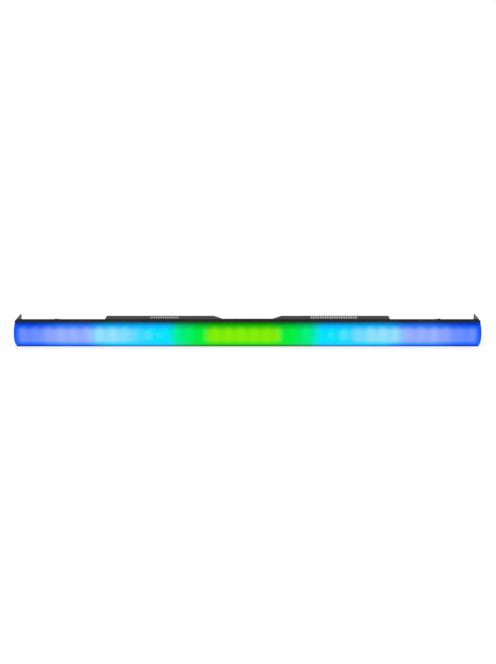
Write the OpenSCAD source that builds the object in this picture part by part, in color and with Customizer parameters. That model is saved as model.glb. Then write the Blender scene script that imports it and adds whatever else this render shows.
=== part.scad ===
// LED pixel batten: a black aluminium bar with a curved milky lens in front,
// two electronics housings behind it and two swivel brackets with locking knobs.
// X runs along the bar, the light leaves towards -Y, +Z is up, and z = 0 is the floor.

/* [Bar] */
// Overall length across the two end plates
bar_length = 1000; // [960:1:1100]
// Overall height
bar_height = 58; // [57.5:0.5:60]
// Overall depth, from the front edge to the back edge of the end plates
bar_depth = 74; // [74:0.5:80]
// Thickness of the end plates
end_plate_t = 2; // [1.5:0.1:2.5]

/* [Light] */
// Outer radius of the curved lens
lens_r = 26.5; // [26:0.1:27]
// Wall thickness of the lens
lens_wall = 2; // [1.6:0.1:2.4]
// Number of pixels along the bar, shared equally by the boards
pixel_count = 36; // [24:4:36]
// Number of circuit boards that carry the pixels
board_count = 4; // [4:1:4]

/* [Housings] */
// Distance from the middle of the bar to the outer end of each housing
housing_end_x = 308; // [300:1:320]
// Half width of the middle recess at its narrow front
recess_front_x = 54; // [50:1:56]
// How much wider each side of the recess gets on its way to the back
recess_flare = 28.5; // [24:0.5:32]
// Sheet thickness of the housings
sheet_t = 1.2; // [1:0.1:1.5]

/* [Brackets] */
// Distance from the middle of the bar to the outer face of each locking knob
knob_face_x = 421; // [418:1:426]
// Radius of the knob over its lobes
knob_r = 14; // [13:0.5:14.5]
// Height of the bracket pivot above the floor
pivot_z = 39.4; // [39:0.1:40]
// Width of the bracket strap
strap_w = 24; // [20:1:26]

/* [Hidden] */
$fn = 48;

// Main planes across the bar
mid_z = bar_height / 2;
front_y = -bar_depth / 2;
back_y = bar_depth / 2;
upper_lip_y = front_y + 16;
skirt_y = front_y + 19;
lower_lip_y = skirt_y + 1.2;
web_front_y = front_y + 27;
web_t = 2.5;
web_back_y = web_front_y + web_t;
flange_back_y = web_back_y + 2.5;
lens_y = front_y + 0.5 + lens_r;
profile_len = bar_length - 2 * end_plate_t;

// Aluminium profile
flange_t = 1.8;
lip_t = 2;
port_r = 1.65;
port_wall = 1.15;
port_y = web_front_y - 0.8;
port_inset = 4.5;
upper_lip_h = 3.8;
lower_lip_h = 2.7;
lower_lip_t = 1.6;
foot_t = 2;
lower_foot_t = 1.2;
skirt_t = 1;
skirt_z = 0.2;
slide_gap = 0.2;

// Pixels and boards
board_t = 1.6;
board_h = 40;
board_gap = 0.8;
board_len = (profile_len - 4) / board_count - board_gap;
board_pitch = board_len + board_gap;
pixel_pitch = (profile_len - 4) / pixel_count;
led_w = 5;
lead_hole_x = 88;
led_t = 1.6;

// Housings
deck_y = front_y + 59.5;
belly_y = front_y + 69.5;
belly_drop = 6;
neck_y = front_y + 36;
recess_back_x = recess_front_x + recess_flare;
recess_angle = atan(recess_flare / (belly_y - neck_y));
slope_shift = sheet_t / cos(recess_angle);
fold_angle = atan(belly_drop / (belly_y - deck_y));
panel_x = housing_end_x - 6;
seam = 0.15;
tab_len = 13;
tab_z = 8;
recess_tab_x = recess_front_x + 5.5;
recess_tab_len = 13.5;
recess_tab_rise = 6.2;
back_tab_x = recess_back_x + 0.8;
back_tab_len = 15.2;
back_tab_y = belly_y - 2 * sheet_t - seam;
back_tab_z = tab_z + 3;

// Sockets on the end panels: a 31 by 26 flange, turned to lie along Y
socket_y = web_back_y + 17;
socket_low_z = mid_z - 13.5;
socket_high_z = mid_z + 13.5;
socket_flange_t = 2;
socket_r = 11.8;
socket_screw_y = 12;
socket_screw_z = 9.5;

// Screws: [shank radius, head radius, head height]
m2 = [1.1, 2.1, 1.2];
m3 = [1.4, 2.8, 1.8];
m4 = [1.55, 3.6, 2.2];
m5 = [2.4, 4.6, 2.8];
thread_gap = 0.1;

// Circuit boards in the housings
standoff_h = 6;
inner_board_y = web_back_y + standoff_h;
inner_board_z = [6, 52];
power_board_x = [-255, -105];
control_board_x = [110, 250];
standoff_inset = 5;
transformer_x = -178;
choke_x = -204;
heat_sink_x = -154;
main_chip_x = 196;
small_chip_x = [140, 156, 172];
// Capacitors: [x, z, radius]; terminal blocks: [x, size]
capacitors = [[-222, 20, 8], [-222, 39, 8], [-134, 19, 6], [-134, 33, 6]];
terminals = [
    [-245, [10, 11, 30]], [-113, [10, 11, 16]], [118, [10, 11, 16]], [242, [10, 11, 20]]
];

// Menu panel on the right rear cover
menu_board_x = [120, 250];
menu_board_z = [12, 46];
menu_board_y = belly_y - sheet_t - 9.5;
display_x = 212;
display_size = [50, 19];
button_x = [172, 158, 144, 130];
button_r = 4.2;
button_travel = 1;

// Clamp plate in the middle recess
clamp_plate_size = [90, 38];
clamp_plate_t = 4;
clamp_boss_h = 6;
clamp_thread_r = 4.25;
clamp_screw_x = 36;
clamp_screw_z = 13;
eye_x = 22;
eye_ring_r = 10;
eye_rod_r = 2.6;
eye_stem = 17;
eye_shank_r = 4;

// Brackets, described for the right-hand side
pivot_y = 16;
ear_x = 393;
ear_t = 3;
strap_x = ear_x + ear_t + 0.3;
strap_t = 3;
strap_end_x = 456;
foot_z = 4.5;
pad_t = 1.5;
hub_x = strap_x + strap_t + 0.3;
knob_neck_x = hub_x + 6;
knob_rim_t = 3;
knob_back_r = 12.4;
stud_r = 3;
hole_x = 434;
hole_r = 5.25;
pad_hole_r = 8;

// Fuse and earth
fuse_x = -264;
fuse_z = 33;
fuse_body_r = 6.2;
earth_place = [-262, 13];

// Cables inside the bar, held all the way
mains_r = 2;
data_r = 1.4;
duct_y = web_back_y + 3;
mains_z = 4;
data_z = 54.6;
cable_end_y = 3;
mains_end_z = 9;
data_end_z = 50;
mains_bends = [259, 270];
data_bends = [262, 276];

// Draws a YZ outline and stretches it along X, centred on x = 0
module along_x(length) {
    rotate([90, 0, 90]) translate([0, 0, -length / 2]) linear_extrude(length) children();
}

// A box from its lowest corner to its highest corner
module box(low, high) {
    translate(low) cube(high - low);
}

// Turns the Z axis to point at +Y, so what is drawn upwards goes to the back
module facing_back() {
    rotate([-90, 0, 0]) children();
}

// Turns the Z axis to point at -Y, so what is drawn upwards goes to the front
module facing_front() {
    rotate([90, 0, 0]) children();
}

// Turns the Z axis to point at +X
module facing_right() {
    rotate([0, 90, 0]) children();
}

// Mirrors what is drawn for the right-hand side when side is -1
module on_side(side) {
    mirror([side < 0 ? 1 : 0, 0, 0]) children();
}

// A pan head screw with a cross recess; its seat is z = 0 and its head is above it
module screw(kind, length) {
    slot_w = kind[1] * 0.3;
    slot_l = kind[1] * 1.3;
    difference() {
        union() {
            cylinder(h = kind[2] * 0.45, r = kind[1]);
            translate([0, 0, kind[2] * 0.45])
                cylinder(h = kind[2] * 0.55, r1 = kind[1], r2 = kind[1] * 0.72);
            translate([0, 0, -length]) cylinder(h = length + 0.01, r = kind[0]);
        }
        for (turn = [0, 90])
            rotate([0, 0, turn]) translate([-slot_l / 2, -slot_w / 2, kind[2] * 0.45])
                cube([slot_l, slot_w, kind[2]]);
    }
}

// A countersunk screw whose flat head lies flush with z = 0
module flush_screw(kind, length) {
    sink = kind[1] - kind[0];
    difference() {
        union() {
            translate([0, 0, -sink]) cylinder(h = sink, r1 = kind[0], r2 = kind[1]);
            translate([0, 0, -length]) cylinder(h = length - sink + 0.01, r = kind[0]);
        }
        for (turn = [0, 90])
            rotate([0, 0, turn]) translate([-kind[1] * 0.6, -kind[1] * 0.14, -1])
                cube([kind[1] * 1.2, kind[1] * 0.28, 2]);
    }
}

// The hole that a screw of this kind is driven into
module screw_hole(kind, length) {
    translate([0, 0, -length]) cylinder(h = length, r = kind[0] + thread_gap);
}

function unit(v) = v / norm(v);

// Direction of a route at point i, averaged over the runs on both sides of it
function route_direction(points, i) =
    let (last = len(points) - 1)
    i == 0 ? unit(points[1] - points[0])
    : i == last ? unit(points[last] - points[last - 1])
    : unit(unit(points[i + 1] - points[i]) + unit(points[i] - points[i - 1]));

// A round cable swept along a list of points
module cable(points, r) {
    sides = 12;
    rings = len(points);
    ring_points = [
        for (i = [0 : rings - 1])
            let (
                along = route_direction(points, i),
                across = unit(cross(along, [0, 0, 1])),
                up = cross(across, along)
            )
            for (k = [0 : sides - 1])
                points[i] + r * (across * cos(360 * k / sides) + up * sin(360 * k / sides))
    ];
    walls = [
        for (i = [0 : rings - 2], k = [0 : sides - 1])
            let (a = i * sides + k, b = i * sides + (k + 1) % sides)
            each [[a, b, b + sides], [a, b + sides, a + sides]]
    ];
    start_cap = [for (k = [1 : sides - 2]) [0, k + 1, k]];
    first = (rings - 1) * sides;
    end_cap = [for (k = [1 : sides - 2]) [first, first + k, first + k + 1]];
    polyhedron(ring_points, concat(walls, start_cap, end_cap));
}

// ---------- places shared by a piece and its holes ----------

module each_board_screw() {
    for (i = [0 : board_count - 1], end = [-1, 1], level = [-1, 1]) {
        middle = (i - (board_count - 1) / 2) * board_pitch;
        translate([middle + end * (board_len / 2 - 16), 0, mid_z + level * 15]) children();
    }
}

module each_standoff(span) {
    for (x = [span[0] + standoff_inset, span[1] - standoff_inset], z = inner_board_z)
        translate([x, 0, z == inner_board_z[0] ? z + standoff_inset : z - standoff_inset])
            children();
}

module each_chassis_screw() {
    for (side = [-1, 1], x = [panel_x - sheet_t - 7, recess_front_x + 12], z = [-14, 14])
        translate([side * x, 0, mid_z + z]) children();
}

module each_cover_screw() {
    for (side = [-1, 1], x = [panel_x - sheet_t - 7, recess_back_x + 10], z = [-14, 14])
        translate([side * x, 0, mid_z + z]) children();
}

module each_clamp_screw() {
    for (x = [-1, 1], z = [-1, 1])
        translate([x * clamp_screw_x, 0, mid_z + z * clamp_screw_z]) children();
}

module each_ear_screw() {
    for (side = [-1, 1], z = [-11, 11])
        translate([side * (ear_x - 8), 0, pivot_z - 8 + z]) children();
}

module each_socket_screw() {
    for (side = [-1, 1], z = [socket_low_z, socket_high_z], corner = [-1, 1])
        translate([side * panel_x, socket_y + corner * socket_screw_y, z + corner * socket_screw_z])
            children();
}

// ---------- light ----------

// A quarter disc: its round side faces -Y, and up or down
module quarter_disc(r, up) {
    intersection() {
        circle(r);
        translate([-r, up ? 0 : -r]) square([r, r]);
    }
}

module profile_outline() {
    edge_r = flange_t;
    upper_lip_z = bar_height - upper_lip_h;
    difference() {
        union() {
            // Upper flange and the lip that hangs from its front edge
            translate([upper_lip_y + edge_r, bar_height - flange_t])
                square([flange_back_y - upper_lip_y - edge_r, flange_t]);
            translate([upper_lip_y, upper_lip_z]) square([lip_t, upper_lip_h - edge_r]);
            translate([upper_lip_y + edge_r, bar_height - edge_r]) quarter_disc(edge_r, true);
            // Lower flange and its lip
            translate([lower_lip_y + lower_lip_t, 0])
                square([flange_back_y - lower_lip_y - lower_lip_t, flange_t]);
            translate([lower_lip_y, lower_lip_t])
                square([lower_lip_t, lower_lip_h - lower_lip_t]);
            translate([lower_lip_y + lower_lip_t, lower_lip_t]) quarter_disc(lower_lip_t, false);
            // Web that carries the boards
            translate([web_front_y, 0]) square([web_t, bar_height]);
            // Rib that closes the upper lens groove; the port wall closes the lower one
            translate([upper_lip_y + lip_t + foot_t + 2 * slide_gap, bar_height - flange_t - 1.4])
                square([1, 1.5]);
            // Screw ports for the end plates
            for (z = [port_inset, bar_height - port_inset])
                translate([port_y, z]) circle(port_r + port_wall);
        }
        for (z = [port_inset, bar_height - port_inset])
            translate([port_y, z]) circle(port_r);
    }
}

module front_profile() {
    feed_hole_r = 4;
    color([0.10, 0.10, 0.11]) difference() {
        along_x(profile_len) profile_outline();
        translate([0, web_front_y - board_t, 0]) each_board_screw()
            facing_front() screw_hole(m3, web_t + board_t + 0.1);
        translate([0, inner_board_y, 0]) {
            each_standoff(power_board_x) facing_back() screw_hole(m3, standoff_h + web_t + 1);
            each_standoff(control_board_x) facing_back() screw_hole(m3, standoff_h + web_t + 1);
        }
        translate([0, web_back_y, 0]) {
            each_chassis_screw() facing_back() screw_hole(m3, web_t + 1);
            each_clamp_screw() facing_back() screw_hole(m5, web_t + 1);
            each_ear_screw() facing_back() screw_hole(m4, web_t + 1);
        }
        // Holes that the pixel leads pass through
        for (side = [-1, 1])
            translate([side * lead_hole_x, web_back_y + 1, mid_z])
                facing_front() cylinder(h = web_t + 2, r = feed_hole_r);
    }
}

// Outline of the curved wall, which ends at back_top above mid height and at back_low below it
module lens_wall_outline(back_top, back_low) {
    difference() {
        translate([lens_y, mid_z]) circle(lens_r, $fn = 96);
        translate([lens_y, mid_z]) circle(lens_r - lens_wall, $fn = 96);
        translate([back_top, mid_z]) square([4 * lens_r, 2 * lens_r]);
        translate([back_low, -1]) square([4 * lens_r, mid_z + 2]);
    }
    // Skirt that hangs in front of the lower lip
    translate([skirt_y, skirt_z]) square([skirt_t, mid_z - lens_r + 2.1 - skirt_z]);
}

module diffuser() {
    foot_overlap = 1.9;
    upper_foot_y = upper_lip_y + lip_t + slide_gap;
    lower_foot_y = lower_lip_y + lower_lip_t + slide_gap;
    upper_foot_z = bar_height - flange_t - slide_gap;
    lower_foot_z = flange_t + slide_gap;
    color([0.92, 0.93, 0.95]) {
        // The wall in front of the lips covers the edges of the end plates
        along_x(bar_length - 0.1)
            lens_wall_outline(upper_lip_y - slide_gap, skirt_y + skirt_t);
        // Between the plates it goes on behind the lips, with feet that slide in the grooves
        along_x(profile_len - 0.6) {
            lens_wall_outline(upper_foot_y + foot_t, lower_foot_y + lower_foot_t);
            translate([upper_foot_y, upper_foot_z - foot_overlap - lens_wall])
                square([foot_t, foot_overlap + lens_wall]);
            translate([lower_foot_y, lower_foot_z])
                square([lower_foot_t, foot_overlap + lens_wall]);
        }
    }
}

module led_board(number) {
    middle = (number - (board_count + 1) / 2) * board_pitch;
    color([0.90, 0.91, 0.90]) difference() {
        box([middle - board_len / 2, web_front_y - board_t, mid_z - board_h / 2],
            [middle + board_len / 2, web_front_y, mid_z + board_h / 2]);
        translate([0, web_front_y, 0]) each_board_screw()
            translate([0, 1, 0]) facing_front() cylinder(h = board_t + 2, r = m3[0] + 0.2);
        // Lead hole
        for (side = [-1, 1])
            translate([side * lead_hole_x, web_front_y + 1, mid_z])
                facing_front() cylinder(h = board_t + 2, r = 3);
    }
}

module led_packages() {
    emitter_w = led_w - 1.4;
    color([0.98, 0.97, 0.88])
        for (i = [0 : pixel_count - 1]) {
            x = (i - (pixel_count - 1) / 2) * pixel_pitch;
            difference() {
                box([x - led_w / 2, web_front_y - board_t - led_t, mid_z - led_w / 2],
                    [x + led_w / 2, web_front_y - board_t, mid_z + led_w / 2]);
                translate([x, web_front_y - board_t - led_t + 0.4, mid_z])
                    facing_front() cylinder(h = 1, r = emitter_w / 2);
            }
        }
}

module board_screws() {
    color([0.75, 0.76, 0.78]) translate([0, web_front_y - board_t, 0]) each_board_screw()
        facing_front() screw(m3, web_t + board_t - 0.2);
}

module board_links() {
    plug = [13, 4.2, 9];
    color([0.93, 0.93, 0.90])
        for (i = [1 : board_count - 1], level = [-1, 1]) {
            x = (i - board_count / 2) * board_pitch;
            translate([x - plug.x / 2, web_front_y - board_t - plug.y, mid_z + level * 12 - plug.z / 2])
                cube(plug);
        }
}

// ---------- end plates ----------

module end_plate_outline() {
    corner_r = 4;
    nose_r = 1.2;
    union() {
        // Front part, inside the lens
        translate([lens_y, mid_z]) circle(lens_r - lens_wall - slide_gap, $fn = 96);
        // Upper half, with the square front corner above the lens
        translate([upper_lip_y, mid_z]) square([back_y - corner_r - upper_lip_y, mid_z - nose_r]);
        translate([upper_lip_y + nose_r, mid_z]) square([back_y - corner_r - upper_lip_y - nose_r, mid_z]);
        translate([upper_lip_y + nose_r, bar_height - nose_r]) circle(nose_r);
        // Back edge; its upper corner is sharp and its lower corner is round
        translate([back_y - corner_r - 1, corner_r]) square([corner_r + 1, bar_height - corner_r]);
        translate([back_y - corner_r, corner_r]) circle(corner_r);
        // Lower half
        translate([lower_lip_y + nose_r, 0]) square([back_y - corner_r - lower_lip_y - nose_r, mid_z + 1]);
        translate([lower_lip_y, nose_r]) square([2 * nose_r, 8]);
        translate([lower_lip_y + nose_r, nose_r]) circle(nose_r);
    }
}

module end_plate(side) {
    color([0.09, 0.09, 0.10]) on_side(side) difference() {
        translate([bar_length / 2 - end_plate_t / 2, 0, 0]) along_x(end_plate_t) end_plate_outline();
        for (z = [port_inset, bar_height - port_inset])
            translate([bar_length / 2, port_y, z]) facing_right() {
                sink = m4[1] - m4[0];
                translate([0, 0, -end_plate_t - 1]) cylinder(h = end_plate_t + 2, r = m4[0] + 0.1);
                translate([0, 0, -sink]) cylinder(h = sink + 0.01, r1 = m4[0] + 0.1, r2 = m4[1] + 0.1);
            }
    }
}

module end_screws() {
    // Countersunk, so the heads stay inside the overall length
    color([0.62, 0.63, 0.65])
        for (side = [-1, 1], z = [port_inset, bar_height - port_inset])
            on_side(side) translate([bar_length / 2, port_y, z])
                facing_right() flush_screw(m4, 14);
}

// ---------- housings ----------

// Plan of the right-hand housing, with its inner walls moved in by inset
module housing_plan(inset, end_x) {
    front = flange_back_y;
    polygon([
        [recess_front_x + inset, front],
        [recess_front_x + inset, neck_y - inset * tan(recess_angle / 2)],
        [recess_back_x + inset / cos(recess_angle), belly_y],
        [end_x, belly_y],
        [end_x, front]
    ]);
}

// Section of the housings, with its outline moved in by inset
module housing_section(inset) {
    fold_y = deck_y - inset * tan(fold_angle / 2);
    fold_z = belly_drop + inset * tan((90 - fold_angle) / 2);
    polygon([
        [flange_back_y, inset],
        [fold_y, inset],
        [belly_y - inset, fold_z],
        [belly_y - inset, bar_height - fold_z],
        [fold_y, bar_height - inset],
        [flange_back_y, bar_height - inset]
    ]);
}

module housing_block(inset, end_x) {
    intersection() {
        linear_extrude(bar_height) housing_plan(inset, end_x);
        translate([housing_end_x / 2, 0, 0]) along_x(housing_end_x + 40) housing_section(inset);
    }
}

// The region of the folded rear cover: everything behind the deck's back fold
module behind_deck(gap) {
    box([0, deck_y + gap, -1], [housing_end_x + 1, belly_y + 1, bar_height + 1]);
}

module socket_cutouts() {
    for (z = [socket_low_z, socket_high_z])
        translate([panel_x - sheet_t - 1, socket_y, z])
            facing_right() cylinder(h = sheet_t + 2, r = socket_r + 0.2);
}

module chassis(side) {
    tab_height = bar_height - 2 * tab_z;
    color([0.11, 0.11, 0.12]) difference() {
        on_side(side) union() {
            // Deck, floor, sloped side wall and inner end, open at the front and at the back
            difference() {
                housing_block(0, housing_end_x);
                housing_block(sheet_t, housing_end_x + 1);
                behind_deck(0);
                // Way for the cables into the middle
                box([recess_front_x - 1, web_back_y - 1, sheet_t],
                    [recess_front_x + 5, neck_y - sheet_t, bar_height - sheet_t]);
            }
            // Sloped wall behind the deck, inside the cover
            difference() {
                intersection() {
                    housing_block(sheet_t + seam, housing_end_x);
                    behind_deck(-0.01);
                }
                translate([slope_shift + sheet_t + 0.4, 0, 0])
                    housing_block(0, housing_end_x + 1);
                box([panel_x - 60, 0, -1], [housing_end_x + 1, belly_y + 1, bar_height + 1]);
            }
            // End panel, set back under the deck and reaching the web between the flanges
            intersection() {
                housing_block(sheet_t + seam, housing_end_x);
                box([panel_x - sheet_t, web_back_y, 0], [panel_x, belly_y, bar_height]);
            }
            intersection() {
                housing_block(sheet_t - 0.1, housing_end_x);
                box([panel_x - sheet_t, web_back_y, 0], [panel_x, deck_y - 0.5, bar_height]);
            }
            box([panel_x - sheet_t, web_back_y, tab_z],
                [panel_x, flange_back_y + 1, tab_z + tab_height]);
            // Tabs against the web, and tabs behind the rear cover
            box([panel_x - tab_len, web_back_y, tab_z],
                [panel_x - sheet_t + 0.1, web_back_y + sheet_t, tab_z + tab_height]);
            box([recess_tab_x, web_back_y, tab_z],
                [recess_tab_x + recess_tab_len, web_back_y + sheet_t, tab_z + tab_height]);
            box([recess_tab_x, web_back_y, tab_z],
                [recess_tab_x + sheet_t, neck_y + recess_tab_rise, tab_z + tab_height]);
            box([panel_x - tab_len, back_tab_y, back_tab_z],
                [panel_x - sheet_t + 0.1, back_tab_y + sheet_t, bar_height - back_tab_z]);
            box([back_tab_x, back_tab_y, back_tab_z],
                [back_tab_x + back_tab_len, back_tab_y + sheet_t, bar_height - back_tab_z]);
        }
        on_side(side) socket_cutouts();
        translate([0, web_back_y + sheet_t, 0]) each_chassis_screw()
            facing_back() screw_hole(m3, sheet_t + 1);
        translate([0, belly_y - sheet_t, 0]) each_cover_screw()
            facing_back() screw_hole(m3, sheet_t + 2);
        each_socket_screw() on_side(side)
            translate([1, 0, 0]) facing_right() screw_hole(m2, sheet_t + 2);
    }
}

module rear_cover_shell() {
    intersection() {
        difference() {
            housing_block(0, housing_end_x);
            housing_block(sheet_t, housing_end_x + 1);
        }
        behind_deck(seam);
        // The sloped wall belongs to the chassis
        translate([0.05, 0, 0]) linear_extrude(bar_height) housing_plan(0, housing_end_x);
    }
}

module rear_cover(side) {
    color([0.12, 0.12, 0.13]) difference() {
        on_side(side) difference() {
            rear_cover_shell();
            // Leaves only the folded sheet, without the block's sloped side
            intersection() {
                linear_extrude(bar_height) housing_plan(0, housing_end_x + 1);
                translate([housing_end_x / 2, 0, 0]) along_x(housing_end_x + 40)
                    housing_section(sheet_t);
            }
        }
        translate([0, belly_y, 0]) each_cover_screw()
            translate([0, 1, 0]) facing_back() screw_hole([m3[0] + 0.2, 0, 0], sheet_t + 2);
        if (side > 0) {
            // Display window and the four button holes
            box([display_x - display_size.x / 2 - 1, belly_y - 3, mid_z - display_size.y / 2 - 1],
                [display_x + display_size.x / 2 + 1, belly_y + 1, mid_z + display_size.y / 2 + 1]);
            for (x = button_x)
                translate([x, belly_y + 1, mid_z]) facing_front() cylinder(h = 4, r = button_r + 0.3);
        }
        if (side < 0)
            translate([fuse_x, belly_y + 1, fuse_z])
                facing_front() cylinder(h = 4, r = fuse_body_r + 0.1);
    }
}

module wireway_cover() {
    color([0.11, 0.11, 0.12]) difference() {
        box([-recess_front_x + seam, flange_back_y, 0], [recess_front_x - seam, neck_y, bar_height]);
        box([-recess_front_x - 1, web_back_y - 1, sheet_t],
            [recess_front_x + 1, neck_y - sheet_t, bar_height - sheet_t]);
        translate([0, neck_y, 0]) each_clamp_screw()
            translate([0, 1, 0]) facing_back() screw_hole([m5[0] + 0.2, 0, 0], sheet_t + 2);
    }
}

module chassis_screws() {
    color([0.70, 0.71, 0.73]) translate([0, web_back_y + sheet_t, 0]) each_chassis_screw()
        facing_back() screw(m3, sheet_t + web_t - 0.2);
}

module cover_screws() {
    color([0.20, 0.20, 0.21]) translate([0, belly_y, 0]) each_cover_screw()
        facing_back() screw(m3, 2 * sheet_t + 0.8);
}

// ---------- hanging point ----------

module clamp_plate() {
    plate_y = neck_y + clamp_plate_t;
    color([0.16, 0.16, 0.17]) difference() {
        union() {
            box([-clamp_plate_size.x / 2, neck_y, mid_z - clamp_plate_size.y / 2],
                [clamp_plate_size.x / 2, plate_y, mid_z + clamp_plate_size.y / 2]);
            translate([0, neck_y + 0.5, mid_z]) facing_back()
                cylinder(h = clamp_plate_t + clamp_boss_h - 0.5, r = 8.5);
        }
        translate([0, neck_y - 1, mid_z]) facing_back()
            cylinder(h = clamp_plate_t + clamp_boss_h + 2, r = clamp_thread_r);
        translate([0, plate_y, 0]) each_clamp_screw()
            translate([0, 1, 0]) facing_back() screw_hole([m5[0] + 0.2, 0, 0], clamp_plate_t + 2);
        translate([eye_x, neck_y - 1, mid_z]) facing_back()
            cylinder(h = clamp_plate_t + 2, r = eye_shank_r + 0.1);
    }
}

module clamp_screws() {
    reach = clamp_plate_t + neck_y - web_back_y + web_t - 0.2;
    color([0.68, 0.69, 0.71]) translate([0, neck_y + clamp_plate_t, 0]) each_clamp_screw()
        facing_back() screw(m5, reach);
}

module clamp_spacers() {
    color([0.72, 0.73, 0.75]) translate([0, web_back_y, 0]) each_clamp_screw()
        facing_back() difference() {
            cylinder(h = neck_y - sheet_t - web_back_y, r = 4.4);
            translate([0, 0, -1]) cylinder(h = 12, r = m5[0] + 0.2);
        }
}

module safety_eye() {
    ring_y = neck_y + clamp_plate_t + eye_stem;
    color([0.74, 0.75, 0.77]) {
        translate([eye_x, ring_y, mid_z]) facing_right()
            rotate_extrude($fn = 48) translate([eye_ring_r, 0]) circle(eye_rod_r, $fn = 24);
        translate([eye_x, neck_y + clamp_plate_t, mid_z]) facing_back() {
            cylinder(h = 2.2, r = 6.5);
            cylinder(h = eye_stem - eye_ring_r, r = eye_shank_r - 0.4);
            translate([0, 0, -clamp_plate_t]) cylinder(h = clamp_plate_t + 1, r = eye_shank_r);
        }
    }
}

// ---------- sockets ----------

// Flange and round body of a panel socket, drawn for the right-hand panel
module socket_body(depth, mouth_r, mouth_depth) {
    difference() {
        union() {
            hull()
                for (y = [-13.5, 13.5], z = [-11, 11])
                    translate([0, y, z]) facing_right()
                        cylinder(h = socket_flange_t, r = 2, $fn = 32);
            translate([-sheet_t - depth, 0, 0]) facing_right()
                cylinder(h = depth + sheet_t + 0.5, r = socket_r);
        }
        translate([socket_flange_t - mouth_depth, 0, 0]) facing_right()
            cylinder(h = mouth_depth + 1, r = mouth_r);
        for (corner = [-1, 1])
            translate([-1, corner * socket_screw_y, corner * socket_screw_z]) facing_right()
                cylinder(h = socket_flange_t + 2, r = 1.5);
    }
}

module at_socket(side, z) {
    on_side(side) translate([panel_x, socket_y, z]) children();
}

// Round locking mains socket: a key block in the middle of a round well
module mains_socket(side, key_turn) {
    at_socket(side, socket_low_z) {
        socket_body(24, 9.6, 15);
        rotate([key_turn, 0, 0]) {
            translate([-13.5, -2.6, -5.8]) cube([13, 5.2, 11.6]);
            translate([-13.5, -5.8, -1.6]) cube([10, 11.6, 3.2]);
        }
        // Blade terminals at the back
        for (y = [-5, 0, 5])
            translate([-sheet_t - 24 - 4, y - 0.4, 3]) cube([4.5, 0.8, 4.8]);
    }
}

module power_inlet() {
    color([0.13, 0.27, 0.62]) mains_socket(-1, 0);
}

module power_outlet() {
    color([0.62, 0.64, 0.66]) mains_socket(1, 90);
}

// Three pin data plug: open well with pins
module dmx_input() {
    color([0.18, 0.18, 0.19]) at_socket(-1, socket_high_z) {
        socket_body(17, 9.4, 14);
        for (turn = [90, 210, 330])
            rotate([turn, 0, 0]) translate([-12.5, 0, 4.6]) facing_right() {
                cylinder(h = 11, r = 1.15);
                translate([0, 0, 11]) sphere(r = 1.15);
            }
        translate([-12.5, -1.2, 7.4]) cube([12, 2.4, 2.2]);
    }
}

// Three hole data socket: solid insert, a ring shaped well and a slot for the latch
module dmx_output() {
    color([0.18, 0.18, 0.19]) difference() {
        at_socket(1, socket_high_z) {
            socket_body(17, 9.4, 14);
            difference() {
                translate([-12.5, 0, 0]) facing_right() cylinder(h = 13.5, r = 7.4);
                for (turn = [90, 210, 330])
                    rotate([turn, 0, 0]) translate([-9, 0, 4.4]) facing_right()
                        cylinder(h = 12, r = 1.4);
            }
        }
        at_socket(1, socket_high_z)
            translate([-6, -4.5, 8.1]) cube([10, 9, 3.2]);
    }
}

module dmx_latch() {
    color([0.55, 0.56, 0.58]) at_socket(1, socket_high_z) {
        translate([-4, -4.1, 8.5]) cube([7.5, 8.2, 2.4]);
        translate([3, -3.2, 8.9]) cube([1.1, 6.4, 1.6]);
    }
}

module socket_screws() {
    color([0.66, 0.67, 0.69])
        for (side = [-1, 1], z = [socket_low_z, socket_high_z], corner = [-1, 1])
            on_side(side) translate([panel_x + socket_flange_t,
                socket_y + corner * socket_screw_y, z + corner * socket_screw_z])
                facing_right() screw(m2, socket_flange_t + sheet_t + 1);
}

// ---------- electronics ----------

module inner_board(span) {
    difference() {
        box([span[0], inner_board_y, inner_board_z[0]],
            [span[1], inner_board_y + board_t, inner_board_z[1]]);
        each_standoff(span) translate([0, inner_board_y - 1, 0]) facing_back()
            cylinder(h = board_t + 2, r = m3[0] + 0.2);
    }
}

module power_board() {
    color([0.12, 0.36, 0.20]) inner_board(power_board_x);
}

module control_board() {
    color([0.10, 0.30, 0.34]) inner_board(control_board_x);
}

// A block that stands on a housing board, from its centre and size
module on_board(x, z, size) {
    translate([x - size.x / 2, inner_board_y + board_t, z - size.z / 2]) cube(size);
}

// Transformer with its core, and the mains choke beside it
module power_windings() {
    color([0.86, 0.72, 0.22]) {
        on_board(transformer_x, mid_z, [8, 22, 30]);
        on_board(transformer_x, mid_z, [26, 18, 20]);
        translate([choke_x, inner_board_y + board_t + 4.5, mid_z]) facing_back()
            rotate_extrude($fn = 40) translate([6.2, 0]) circle(4.4, $fn = 24);
    }
}

module power_capacitors() {
    color([0.14, 0.15, 0.30])
        for (can = capacitors)
            translate([can[0], inner_board_y + board_t, can[1]])
                facing_back() cylinder(h = can[2] * 2.8, r = can[2]);
}

module power_heat_sink() {
    fin_h = 20;
    color([0.60, 0.61, 0.63]) {
        on_board(heat_sink_x, mid_z, [2, fin_h, 34]);
        for (level = [-12, -6, 0, 6, 12])
            on_board(heat_sink_x + 3, mid_z + level, [6, fin_h, 1.4]);
    }
}

module control_chips() {
    color([0.07, 0.07, 0.08]) {
        on_board(main_chip_x, mid_z, [14, 1.8, 14]);
        for (x = small_chip_x, z = [20, 38])
            on_board(x, z, [6, 1.7, 10]);
    }
}

module terminal_blocks() {
    color([0.16, 0.46, 0.24])
        for (block = terminals)
            on_board(block[0], mid_z, block[1]);
}

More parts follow.
